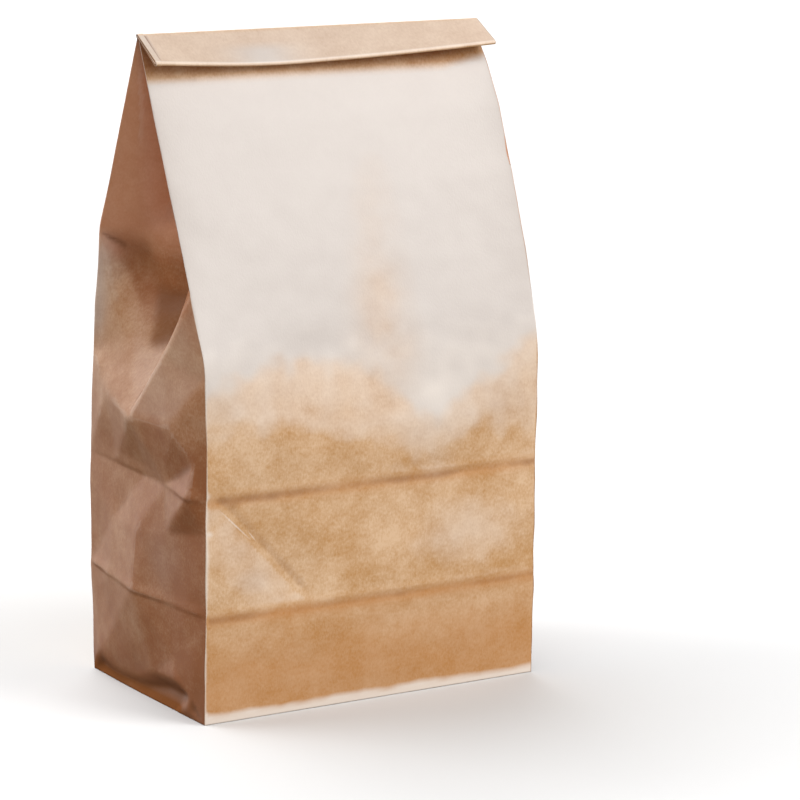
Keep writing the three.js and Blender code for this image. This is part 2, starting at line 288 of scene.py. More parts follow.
# Rounds of smoothing for all creases, and then for the loose paper at the top of the left gusset.
CREASE_ROUNDS = 2
SAG_ROUNDS = 26

# How far a spot stands off its neighbours for a bend to be fully pale where it comes out (worn fibres and a
# painted highlight) and fully dark where it goes in (painted shade).
FULL_BEND = 0.16

# Lower edge of the painted sheen on the front panel, a painted highlight, as (x, z), and how it grows with
# the height above it.
SHEEN_EDGE = [(-78, 138), (-66, 141), (-54, 144), (-35, 147), (-14, 145), (1, 137), (15, 126), (28, 117),
              (36, 123), (46, 128), (58, 135), (68, 143), (78, 153)]

SHEEN_RISE = [(-90, 0), (-60, 0.04), (-30, 0.3), (-5, 0.5), (2, 0.95), (90, 1)]

# Tan tongue that runs up from there into the sheen: how far the sheen is missing, by height.
SHEEN_TONGUE = [(120, 0.1), (142, 0.32), (180, 0.16), (220, 0.06), (242, 0)]

# Uneven edge of every mark on the front: share, size and seed of each wave.
WANDER = [(1, 31, 5), (0.7, 11, 17), (0.4, 5, 23)]

# Painted shade in each packing fold on the front, under its lip: height of the fold and strength.
FOLD_SHADE = [(BASE_FOLD, 0.44), (STACK_FOLD, 0.6)]

# Pale patches on the front, a lighter tan low on the right and a painted highlight at the lower tip of the
# sheen: strength, middle (x, z), half width and half height.
FRONT_PATCHES = [(0.5, (44, 66), (36, 20)), (0.3, (28, 126), (11, 8))]

# Scuffs on the front: middle (x, z), half length, half width, angle off level, and strength.
SCUFFS = [(-64.5, 84.2, 11.5, 0.5, -44.2, 0.6), (-57, 79, 3.5, 0.4, -52, 0.5),
          (-76.4, 82, 2.0, 1.6, -20, 0.5)]

# Lines on the gussets, from the middle line towards the back: the back edge of the painted shade in the
# hollow by height, the ridge that runs from the apex up to the front fold by height, and the ledge under it
# by place across.
HOLLOW_EDGE = [(148, 16), (159, 26), (169, 36), (176, 43), (180, 47), (186, 51)]
RIDGE_LINE = [(118.5, 0), (146, -25), (164.5, -43), (173, -51)]
LEDGE_LINE = [(-51, 141), (-30, 119.6), (0, 118.5)]

# Lights of the backdrop and of the floor in front: the way to the middle of each glow, and where it starts.
GLOWS = [((-0.25, 0.85, 0.45), 0.62), ((-0.25, -0.94, 0.2), 0.2)]

# Soft lights: place of each, the point it faces, and its width and height, in metres.
SOFTBOXES = {
    "key": ((0.85, -1.15, 1.35), (0.0, -0.02, 0.17), (1.0, 1.4)),
    "side": ((-1.0, 0.7, 1.2), (0.0, 0.0, 0.12), (1.0, 1.0)),
    "far": ((1.2, 3.4, 3.0), (1.2, 3.4, 0.0), (5.0, 3.0))}

# Camera, in metres, with its focal length and sensor width in millimetres.
CAMERA_PLACE = (-0.68197, -1.20759, 0.38658)
CAMERA_AIM = (0.03144, -0.01887, 0.11695)
CAMERA_LENS = 152.1
CAMERA_SENSOR = 36


def linear(code):
    """Linear colour of an sRGB hex value such as #C89A6A."""
    channels = [int(code[i:i + 2], 16) / 255 for i in (1, 3, 5)]
    return tuple(c / 12.92 if c <= 0.04045 else ((c + 0.055) / 1.055) ** 2.4 for c in channels)


class BagSizes(bpy.types.PropertyGroup):
    """Sizes of the bag and its mesh"""
    panel_width: bpy.props.FloatProperty(
        name="Panel width", description="Front panel between its two fold lines",
        default=0.156, min=0.05, unit="LENGTH")
    gusset_width: bpy.props.FloatProperty(
        name="Gusset width", description="Side of the block bottom, from front to back",
        default=0.102, min=0.03, unit="LENGTH")
    ridge_height: bpy.props.FloatProperty(
        name="Ridge height", description="Top of the rolled mouth above the ground",
        default=CAD_BOX[1][2], min=0.1, unit="LENGTH")
    flap_length: bpy.props.FloatProperty(
        name="Flap length", description="Rolled mouth from its ridge to its lower edge",
        default=0.0158, min=0.005, unit="LENGTH")
    cell: bpy.props.FloatProperty(
        name="Cell", description="Spacing of the mesh on the sheet",
        default=0.0015, min=0.001, unit="LENGTH")
    cockle: bpy.props.FloatProperty(
        name="Cockle", description="Height of the small waves in the paper",
        default=0.00035, min=0.0, unit="LENGTH")


class PaperLook(bpy.types.PropertyGroup):
    """Colours of the paper"""
    tan: bpy.props.FloatVectorProperty(
        name="Tan", description="Kraft paper where the fibres lie even",
        default=linear("#DFBB96"), size=3, subtype="COLOR", min=0, max=1)
    deep: bpy.props.FloatVectorProperty(
        name="Deep tan", description="Kraft paper where the fibres are thick, and in creases",
        default=linear("#C0905D"), size=3, subtype="COLOR", min=0, max=1)
    # Painted highlight: the pale sheen that the upper front, the flap, the ridge and the lit facets of the
    # gussets are mixed towards.
    pale: bpy.props.FloatVectorProperty(
        name="Pale", description="Glaze rubbed pale, on the upper front and along the foot",
        default=linear("#C6BFBA"), size=3, subtype="COLOR", min=0, max=1)
    # Painted shade: the gussets are deepened towards this colour, most in the hollow, at the neck and
    # towards the foot.
    dark: bpy.props.FloatVectorProperty(
        name="Dark tan", description="Kraft paper of the gussets, where the glaze is not rubbed",
        default=linear("#955C37"), size=3, subtype="COLOR", min=0, max=1)
    # Painted shade: golden brown at the bottom of the front and in a band under each packing fold.
    foot: bpy.props.FloatVectorProperty(
        name="Golden brown", description="Kraft paper below the base fold and in the packing folds",
        default=linear("#BD7D42"), size=3, subtype="COLOR", min=0, max=1)
    # Painted light: a red brown that stands in for the warm light bounced inside the tucked-in top of the
    # gussets.
    ruddy: bpy.props.FloatVectorProperty(
        name="Red brown", description="Kraft paper in the tucked-in top of the gussets",
        default=linear("#D6906D"), size=3, subtype="COLOR", min=0, max=1)
    # Painted shade: the colour that the paper is darkened to in its creases, hollows and recesses.
    crease: bpy.props.FloatVectorProperty(
        name="Crease", description="Kraft paper in the bottom of a fold, where dirt gathers",
        default=linear("#7A4B2A"), size=3, subtype="COLOR", min=0, max=1)
    # Worn white fibres along sharp folds, and also painted highlights on fold lips and facets and a painted
    # reflection of the floor along the bottom edge.
    worn: bpy.props.FloatVectorProperty(
        name="Worn", description="Paper broken white along a sharp fold",
        default=linear("#F4E8DC"), size=3, subtype="COLOR", min=0, max=1)


class StudioLook(bpy.types.PropertyGroup):
    """Floor and lights"""
    floor: bpy.props.FloatVectorProperty(
        name="Floor", description="Pale studio floor",
        default=linear("#DEDEDE"), size=3, subtype="COLOR", min=0, max=1)
    key: bpy.props.FloatProperty(
        name="Key light", description="Power of the large soft light at the front right",
        default=24.5, min=0, unit="POWER")
    side: bpy.props.FloatProperty(
        name="Side light", description="Power of the soft light high on the left",
        default=13.5, min=0, unit="POWER")
    far: bpy.props.FloatProperty(
        name="Far light", description="Power of the light over the floor behind the bag",
        default=160.0, min=0, unit="POWER")
    backdrop: bpy.props.FloatProperty(
        name="Backdrop light", description="Brightness of the white backdrop, behind to the left",
        default=1.7, min=0, subtype="FACTOR")
    front: bpy.props.FloatProperty(
        name="Front light", description="Strength of the even light from the floor in front",
        default=1.0, min=0, subtype="FACTOR")


def fade(value, start, end):
    """Share of the way from start to end, held at 0 before it and at 1 past it."""
    return np.clip((value - start) / (end - start), 0, 1)


def band(value, middle, half):
    """Soft line: 1 in its middle, falling off over the given half width."""
    return np.exp(-((value - middle) / half) ** 2)


def blot(x, z, middle, half):
    """Soft round mark: 1 in its middle, falling off over the given half width and half height."""
    return band(x, middle[0], half[0]) * band(z, middle[1], half[1])


def line(at, points):
    """Value of a broken line at each place, level past its ends."""
    return np.interp(at, *np.array(points, float).T)


def soft_line(at, knots, softness):
    """Value of a broken line at each place, with every bend rounded over the given half length."""
    places = [k[0] for k in knots]
    values = np.array([k[1:] for k in knots], float)
    slopes = np.diff(values, axis=0) / np.diff(places)[:, None]
    at = np.asarray(at, float)[..., None]
    value = values[0] + slopes[0] * (at - places[0])
    for place, turn in zip(places[1:-1], np.diff(slopes, axis=0)):
        run = np.clip(at - place, -softness, softness)
        past = np.maximum(at - place - softness, 0)
        value = value + turn * ((run + softness) ** 2 / (4 * softness) + past)
    return value


def along(points):
    """Broken line through (y, z) points as knots by the length of paper from its start."""
    points = np.array(points, float)
    steps = np.linalg.norm(np.diff(points, axis=0), axis=1)
    return [(s, *p) for s, p in zip(np.concatenate([[0], np.cumsum(steps)]), points)]


def pleat(up, fold, side, ridge, hollow):
    """Height of the small lip that a packing fold leaves: a ridge on its upper side, a hollow below it."""
    strength = 0.7 + 0.2 * np.sin(5.1 * side + fold) + 0.15 * np.sin(13.7 * side - fold)
    strength *= 1 - 0.6 * side ** 8
    return strength * (ridge * band(up, fold + 1.1, 1.2) - hollow * band(up, fold - 1.6, 1.8))


def fold_step(up, fold, side):
    """Height of a packing fold on a gusset: a narrow strip that faces up, with a sharp step under it."""
    strength = (0.8 + 0.3 * np.sin(6.3 * side + fold)) * np.clip((1 - np.abs(side)) * 8, 0, 1)
    off = up - fold
    return 0.65 * strength * np.clip(np.minimum(1 - off / 4.2, 1 + off / 1.2), 0, 1)


def swell(up, side, lines):
    """How far a panel stands out at a place from its left fold (-1) to its right fold (1)."""
    left, middle, right = (soft_line(up, knots, 2.5)[:, 0] for knots in lines)
    edge = left + (right - left) * (side + 1) / 2
    return edge + (middle - edge) * (1 - side ** 2) ** 0.7


def half_width(z):
    """Half the width of the bag between its folds, which draws out flat towards the mouth."""
    return HALF_PANEL + 0.7 * fade(z, 190, 262)


def lap(x):
    """Height of the lap seam at a place across the back of the sheet."""
    return LAP_STEP * fade(x, LAP_EDGE + 0.15, LAP_EDGE - 0.15)


def dent_line(x, z):
    """How far a place on the front lies below the line of the dent, and how strong the dent is there."""
    start, end = (np.array(spot, float) for spot in DENT)
    way = (end - start) / np.linalg.norm(end - start)
    run = (x - start[0]) * way[0] + (z - start[1]) * way[1]
    below = (x - start[0]) * way[1] - (z - start[1]) * way[0]
    return below, fade(run, -2, 10) * fade(run, 70, 56)


def dent(x, z):
    """Depth of the soft valley that crosses the lower left of the front panel."""
    below, strength = dent_line(x, z)
    return 1.5 * strength * np.clip(1 - np.sqrt(below ** 2 + 1.5) / 20, 0, 1) ** 1.3


def front_panel(side, rise):
    """Places on the front panel: side runs from -1 at the left fold to 1, rise up the sheet from 0 to 1."""
    middle = 1 - side ** 2
    knots = along([(-49.3, 0), (-49.3, 146 - 15 * middle), (-0.6, NECK)])
    up = rise * knots[-1][0]
    y, z = soft_line(up, knots, 5 + 30 * middle).T
    out = swell(up, side, FRONT_SWELL) - dent(HALF_PANEL * side, up)
    out += pleat(up, BASE_FOLD, side, *FRONT_PLEAT) + pleat(up, STACK_FOLD, side, *FRONT_PLEAT)
    lean = np.radians(FRONT_LEAN) * fade(up, 120, 170)
    return y - out * np.cos(lean), z + out * np.sin(lean)


def back_panel(side, rise):
    """Places on the back panel, which leans in above the stack fold and turns in again at its shoulder."""
    middle = 1 - side ** 2
    knots = along([(HALF_GUSSET, 0), (HALF_GUSSET, STACK_FOLD), (39.5 + 4 * middle, 190), (0.6, NECK)])
    up = rise * knots[-1][0]
    y, z = soft_line(up, knots, 4 + 26 * middle).T
    out = swell(up, side, BACK_SWELL) + lap(HALF_PANEL * side)
    out += pleat(up, BASE_FOLD, -side, *BACK_PLEAT) + pleat(up, STACK_FOLD, -side, *BACK_PLEAT)
    lean = np.radians(BACK_LEAN) * fade(up, 150, 210)
    return y + out * np.cos(lean), z + out * np.sin(lean)


def fold_net(net, creases, across, up):
    """Places (out, y, z) of spots on a gusset, flat between the creases of its net."""
    names = list(net)
    flat = [Vector(net[name][:2]) for name in names]
    lines = [(names.index(a), names.index(b)) for a, b in creases]
    spots, _, faces, origins, _, _ = delaunay_2d_cdt(flat, lines, [], 0, 1e-4)
    if any(not origin for origin in origins):
        raise RuntimeError("two creases of a gusset cross")
    held = np.array([net[names[origin[0]]] for origin in origins], float)
    spots = np.array([tuple(s) for s in spots])
    placed = np.full(across.shape + (3,), np.nan)
    for a, b, c in faces:
        edge_1 = spots[b] - spots[a]
        edge_2 = spots[c] - spots[a]
        area = edge_1[0] * edge_2[1] - edge_1[1] * edge_2[0]
        run = np.stack([across - spots[a][0], up - spots[a][1]], axis=-1)
        share_b = (run[..., 0] * edge_2[1] - run[..., 1] * edge_2[0]) / area
        share_c = (edge_1[0] * run[..., 1] - edge_1[1] * run[..., 0]) / area
        inside = (share_b > -1e-6) & (share_c > -1e-6) & (share_b + share_c < 1 + 1e-6)
        shares = np.stack([1 - share_b - share_c, share_b, share_c], axis=-1)
        placed[inside] = (shares @ held[[a, b, c]][:, [4, 2, 3]])[inside]
    if np.isnan(placed).any():
        raise RuntimeError("the crease net leaves part of a gusset bare")
    return placed


def mouth_path(part, share, angle, flap):
    """Places on the middle of the folded mouth, and the way its outer side faces, for one row of columns."""
    y = np.zeros_like(angle)
    z = np.zeros_like(angle)
    heading = np.full_like(angle, math.pi / 2)

    # The further the flap stands off, the more room there is for the edge tucked in behind it.
    tuck = flap * np.clip((np.degrees(angle) - 30) / 28, 0.25, 0.75)
    lengths = {"rise": 1.0, "ridge": math.pi - angle, "flap": flap, "under": math.pi, "tuck": tuck}
    for name, length in lengths.items():
        amount = share if name == part else 1.0
        if name in ("ridge", "under"):
            bend = RIDGE_BEND if name == "ridge" else UNDER_BEND
            y = y + bend * (np.sin(heading + length * amount) - np.sin(heading))
            z = z - bend * (np.cos(heading + length * amount) - np.cos(heading))
            heading = heading + length * amount
        else:
            y = y + np.cos(heading) * length * amount
            z = z + np.sin(heading) * length * amount
        if name == part:
            break
    return y, z, np.sin(heading), -np.cos(heading)


def sheet_columns(widths, cell):
    """Face, place (-1 to 1) and way round the sheet of each column, from the back left fold frontwards."""
    faces, place, around = [], [], []
    start = 0.0
    for face, width in enumerate(widths):
        even = np.linspace(0, width, round(width / cell), endpoint=False)

        # Columns stand closer at each fold, and at the step of the lap seam.
        close = [0.35, 0.9, width - 0.9, width - 0.35]
        if face == 3:
            close += [width / 2 - LAP_EDGE + off for off in (-0.16, 0, 0.16, 0.4)]
        run = np.sort(np.concatenate([even, close]))
        faces.append(np.full(len(run), face))
        place.append((1 if face in (1, 2) else -1) * (2 * run / width - 1))
        around.append(start + run)
        start += width
    return np.concatenate(faces), np.concatenate(place), np.concatenate([*around, [start]])


def sheet_rows(cell):
    """Heights of the rows up to the neck, as shares of it, closer together where a fold crosses the bag."""
    heights = np.concatenate([[0.3, 0.6], np.linspace(0, NECK_UP, round(NECK_UP / cell))])
    for fold in (BASE_FOLD, STACK_FOLD):
        close = np.abs(heights - fold) < 4.5
        heights = np.concatenate([heights[~close], np.linspace(fold - 4.5, fold + 4.5, 15)])
    return np.sort(heights) / NECK_UP


def body_rows(faces, place, rise):
    """Places of every spot from the base to the neck of the mouth, as rows by columns by (x, y, z)."""
    rows = np.zeros((len(rise), len(faces), 3))
    for column, (face, side) in enumerate(zip(faces, place)):
        if face in (1, 3):
            panel = front_panel if face == 1 else back_panel
            y, z = panel(side, rise)
            rows[:, column] = np.stack([half_width(z) * side, y, z], axis=-1)
    for face, sign, net, creases in ((0, -1, LEFT_NET, LEFT_CREASES), (2, 1, RIGHT_NET, RIGHT_CREASES)):
        columns = np.flatnonzero(faces == face)
        across, up = np.meshgrid(HALF_GUSSET * place[columns], rise * NECK_UP)
        out, y, z = np.moveaxis(fold_net(net, creases, across, up), -1, 0)
        for fold, tilt in ((BASE_FOLD + 1.5, 0.02), (STACK_FOLD + 1.2, 0.034)):
            out = out + fold_step(up - tilt * across, fold, across / HALF_GUSSET)
        for edge, panel in ((-1, front_panel), (1, back_panel)):
            edge_y, edge_z = panel(float(sign), rise)
            fold = np.full((len(rise), 1), HALF_GUSSET * edge)
            held = fold_net(net, creases, fold, (rise * NECK_UP)[:, None])
            pull = fade(across * edge, -HALF_GUSSET, HALF_GUSSET) ** 3
            y = y + pull * (edge_y[:, None] - held[..., 1])
            z = z + pull * (edge_z[:, None] - held[..., 2])
        rows[:, columns] = np.stack([sign * (half_width(z) + out), y, z], axis=-1)
    return rows


def mouth_rows(faces, place, flap):
    """Places of every spot of the rolled mouth: the front panel inside, the back panel outside."""
    gusset = (faces == 0) | (faces == 2)
    depth = np.where(gusset, HALF_GUSSET * (1 - np.abs(place)), 0)
    side = np.select([faces == 0, faces == 2], [-1, 1], place)
    inner = (HALF_STACK - 0.12 * fade(depth, 0, 1.5)) * (1 - depth / HALF_GUSSET)
    outer = HALF_STACK + lap(HALF_PANEL * place)
    layer = np.select([faces == 1, faces == 3], [-HALF_STACK, outer], np.sign(place) * inner)
    share = (side + 1) / 2 - side * depth / (2 * HALF_PANEL)
    angle = np.radians(soft_line(share, FLAP_ANGLES, 0.12)[:, 0])
    rows = []
    for number, (part, count) in enumerate(ROLL_PARTS.items()):
        for way in np.arange(1, count + 1) / count:
            left, right = (np.interp(number + way, range(6), ends) for ends in ROLL_ENDS)
            x = left + (right - left) * (side + 1) / 2 - side * depth
            y, z, out_y, out_z = mouth_path(part, way, angle, flap)
            rows.append(np.stack([x, y + layer * out_y, NECK + z + layer * out_z], axis=-1))
    return np.array(rows)


def way_in(rows):
    """Way from every spot to the middle of its four neighbours, on all rows but the first and the last."""
    middle = (np.roll(rows, 1, axis=1) + np.roll(rows, -1, axis=1))[1:-1] + rows[2:] + rows[:-2]
    return middle / 4 - rows[1:-1]


def soften(rows, rounds, held):
    """Round the creases of the grid by moving each spot towards its neighbours, where it isn't held."""
    for _ in range(rounds):
        rows[1:-1] += 0.5 * (1 - held[1:-1, :, None]) * way_in(rows)
    return rows


def grid_normals(rows):
    """Outward direction at every spot of the grid."""
    round_bag = np.roll(rows, -1, axis=1) - np.roll(rows, 1, axis=1)
    normals = np.cross(round_bag, np.gradient(rows, axis=0))
    return normals / np.maximum(np.linalg.norm(normals, axis=2, keepdims=True), 1e-9)


def waves(rows, size, seed):
    """Smooth seeded noise from -1 to 1 at every spot, with waves of the given size."""
    shift = Vector((seed, 2.3 * seed, -seed))
    flat = rows.reshape(-1, 3) / size
    values = [noise.noise(Vector(spot) + shift) for spot in flat]
    return np.array(values).reshape(rows.shape[:2])


def wave_mix(rows, parts):
    """Sum of waves, each given by its share, size and seed."""
    return sum(share * waves(rows, size, seed) for share, size, seed in parts)


def broken(rows, size, seed):
    """Sharp-edged seeded folds from -1 to 1 at every spot, as paper breaks when it is pushed together."""
    return 1 - 4 * np.abs(waves(rows, size, seed))


def crinkle(rows, faces):
    """Height of the faint crinkle of the gussets."""
    z = rows[..., 2]
    faint = 0.3 * fade(z, 0, 20) * fade(z, 200, 160) * broken(rows, 40, 43)
    return np.where((faces == 0) | (faces == 2), faint, 0)


def front_marks(marks, rows, front, body):
    """Finish of the front panel: painted sheen at the top, painted shade in the brown foot and in the folds,
    pale patches and painted highlights, a painted shadow under the flap, and a painted reflection of the
    floor on the lip.
    """
    x, _, z = np.moveaxis(rows[:, front], -1, 0)
    wander = wave_mix(rows[:, front], WANDER)

    # The painted sheen, a painted highlight, ends at an uneven edge, and gives way under the flap to a
    # painted shadow of bare paper.
    highlighted = soft_line(z - line(x, SHEEN_EDGE) + 3 + 7 * wander, SHEEN_RISE, 2)[..., 0]
    tongue = line(z, SHEEN_TONGUE) * band(x - 0.1 * (z - 145), 7, 13)
    covered = fade(x, 84, 58)
    highlighted *= np.clip((257.5 - z) / 5 + 1 - covered, 0, 1) * (1 - np.clip(tongue * (1 + 0.6 * wander), 0, 1))
    # Painted highlight on the lit facet below the dent.
    highlighted += 0.45 * blot(x, z, (-57, 58), (16, 11))
    marks["sheen"][:, front] = 0.88 * fade(highlighted, 0.33, 0.95)
    marks["gloss"][:, front] = 0.2 + 0.5 * highlighted
    # Painted shadow under the flap, deepening the paper.
    marks["depth"][:body, front] = (0.9 * covered * fade(z, 254, 261))[:body]
    # Painted shade: golden brown from the base fold down, deepest at the foot.
    marks["aged"][:, front] = 0.15 * fade(z, BASE_FOLD + 1, BASE_FOLD - 2)
    marks["aged"][:, front] += 0.4 * fade(z + 6 * wander, BASE_FOLD - 2, BASE_FOLD - 26)

    # Each packing fold has a brown painted shade in its hollow under the lip, and a painted highlight on its
    # lip.
    wear = marks["wear"][:, front]
    uneven = np.clip(0.7 + 0.7 * wander, 0.4, 1)
    for fold, painted_shade in FOLD_SHADE:
        marks["aged"][:, front] += 0.45 * band(z, fold - 1.8, 2.8)
        wear += uneven * (0.16 * band(z, fold + 2.2, 1.8) - painted_shade * band(z, fold - 1.8, 2.3))

    # Painted highlight under the sheen and on the facet below the dent, pale patches, and painted shade in a
    # brown line along the dent.
    above = z - line(x, [(-45, 108), (12, 92)]) + 9 * wander
    wear += 0.46 * fade(above, 0, 17) * fade(highlighted, 0, 0.3) * fade(z, 172, 140)
    below, strength = dent_line(x, z)
    wear += 0.44 * fade(below, 0, 3) * fade(below, 33, 11) * fade(z, BASE_FOLD, BASE_FOLD + 3)
    wear -= 0.26 * strength * band(below, -1.5, 2.6)
    for share, middle, half in FRONT_PATCHES:
        wear += share * blot(x, z, middle, half)

    # Broken white along the left fold, and a painted reflection of the floor along the bottom edge.
    wear += 0.55 * np.clip(0.55 + 1.2 * wander, 0, 1) * fade(z, 104, 94) * band(x, -HALF_PANEL, 1)
    wear += fade(z - 1.2 * wander, 5.6, 2.4)
    marks["wear"][:, front] = wear


def mouth_marks(marks, rows, faces, place, body):
    """Finish of the rolled mouth: a painted sheen on its flap, stronger in one patch and along the lap, and
    a paler painted sheen over its ridge.
    """
    rise, ridge, flap = list(ROLL_PARTS.values())[:3]
    start = body + rise + ridge
    end = start + flap
    x = rows[start:end, :, 0]
    run = np.linspace(0, 1, flap)[:, None]
    patch = band(x, -27, 14) * fade(run, 0.3, 0.6)
    strip = np.clip(lap(x) / LAP_STEP - 0.5 * run, 0, 1)
    # Painted sheen on the flap, more in one patch and along the lap, and a paler painted sheen over the
    # ridge.
    marks["sheen"][start:end] = np.where(faces == 3, 0.5 + 0.35 * patch + 0.2 * strip, 0)
    marks["sheen"][body + 2:start] = 0.35

    # A dark line along the seam, and a painted highlight on the lower edge where the paper turns under.
    wear = marks["wear"]
    seam = band(HALF_PANEL * place, LAP_EDGE, 0.3) * (1 - 0.5 * run)
    wear[start:end] = np.where(faces == 3, np.clip(wear[start:end] - 1.6 * seam, -1, 0), wear[start:end])
    wear[end - 1:end + 3] = 0.7


def gusset_marks(marks, rows, faces, place, body):
    """Finish of the gussets: painted shade that makes them browner towards the foot and the front, red brown
    painted light where they are tucked in, and a painted sheen on their lit facets.
    """
    gusset = (faces == 0) | (faces == 2)
    across = HALF_GUSSET * place[gusset]
    z = rows[:, gusset, 2]
    low = fade(z, 150, 105)
    neck = fade(z, 252, 270)
    # Painted shade in the hollow behind the ridge.
    shade = fade(line(z, HOLLOW_EDGE) - across, 0, 5) * fade(z, 149, 166) * fade(z, 192, 180)
    # Painted shade: the gusset is deepened all over, more in the hollow, at the neck, towards the foot and
    # towards the front, less near the top.
    depth = 0.58 - 0.2 * fade(z, 184, 199) + 0.34 * shade + 0.4 * neck
    depth += low * (0.27 + 0.12 * fade(across, 0, -30)) + 0.15 * fade(z, 30, 0)
    marks["depth"][:, gusset] = depth
    # Painted light: red brown for warm bounced light inside the tucked-in top, fading towards the neck.
    marks["ruddy"][:body, gusset] = (0.6 * fade(z, 176, 192) * (1 - 0.6 * neck))[:body]

    # Painted sheen, a painted highlight, on the facet in front of the ridge, along the back fold and on the
    # bulge above the base fold.
    behind = across - line(z, RIDGE_LINE)
    facet = fade(behind, 0, -4) * fade(z - line(across, LEDGE_LINE), 0, 4)
    strip = band(across, HALF_GUSSET, 7) * fade(z, 138, 153) * fade(z, 192, 180)
    painted_sheen = 0.09 * facet + 0.4 * strip + 0.1 * blot(across, z, (-20, 62), (14, 14))
    marks["sheen"][:, gusset] = np.maximum(marks["sheen"][:, gusset], painted_sheen)

    # Painted shade in the hollow, the slot beside the ridge, the neck, the dent at the front, where the
    # paper rolls under at the foot, and along the foot.
    slot = fade(across - 0.35 * (z - 146), 14, 11) * fade(behind, 0, 3)
    slot *= fade(z, 142, 147) * fade(z, 170, 163)
    rolled = fade(z, 9, 3) * fade(across, -42, -30)
    pushed = (faces[gusset] == 0) * blot(across, z, (-38, 84), (9, 6))
    painted_shade = 0.8 * slot + 0.25 * shade + 0.45 * neck ** 2 + 0.42 * pushed
    painted_shade += 0.45 * rolled + 0.5 * fade(z, 24, 6)
    marks["wear"][:, gusset] = np.clip(marks["wear"][:, gusset] - painted_shade, -1, 1)
    marks["gloss"][:, gusset] = 0.5 - 0.14 * low - 0.36 * np.maximum(np.maximum(shade, slot), rolled)


def paper_marks(rows, faces, place, body):
    """Finish of every spot, by the name of its mesh attribute.

    The first mark is pale above 0, for worn fibres, painted highlights and a painted reflection, and dark
    below it, for painted shade.  The others go from 0 to 1: painted sheen, depth of the brown and golden
    brown as painted shade, red brown as painted warm light, and gloss.
    """
    marks = {name: np.zeros(rows.shape[:2]) for name in ("wear", "sheen", "depth", "aged", "ruddy")}
    marks["gloss"] = np.full(rows.shape[:2], 0.35)

    # Paper is paler where it bends out, worn fibres with a painted highlight, and darker where it bends in,
    # painted shade in the crease.
    marks["wear"][1:-1] = -np.sum(way_in(rows) * grid_normals(rows)[1:-1], axis=2) / FULL_BEND
    gusset = (faces == 0) | (faces == 2)
    marks["wear"][:, gusset] = np.clip(marks["wear"][:, gusset], -1, 0.32)
    front_marks(marks, rows, faces == 1, body)
    mouth_marks(marks, rows, faces, place, body)
    gusset_marks(marks, rows, faces, place, body)
    marks["wear"] = np.clip(marks["wear"], -1, 1)
    return marks


def add_node(tree, kind, inputs=None, **settings):
    """Add a shader node, set its options, and set or link its inputs."""
    node = tree.nodes.new("ShaderNode" + kind)
    for name, value in settings.items():
        setattr(node, name, value)
    for socket, value in (inputs or {}).items():
        if isinstance(value, bpy.types.NodeSocket):
            tree.links.new(value, node.inputs[socket])
        else:
            node.inputs[socket].default_value = value
    return node


def blend(tree, share, under, over):
    """Mix two colours by a share from 0 to 1."""
    return add_node(tree, "Mix", {0: share, 6: under, 7: over}, data_type="RGBA").outputs[2]


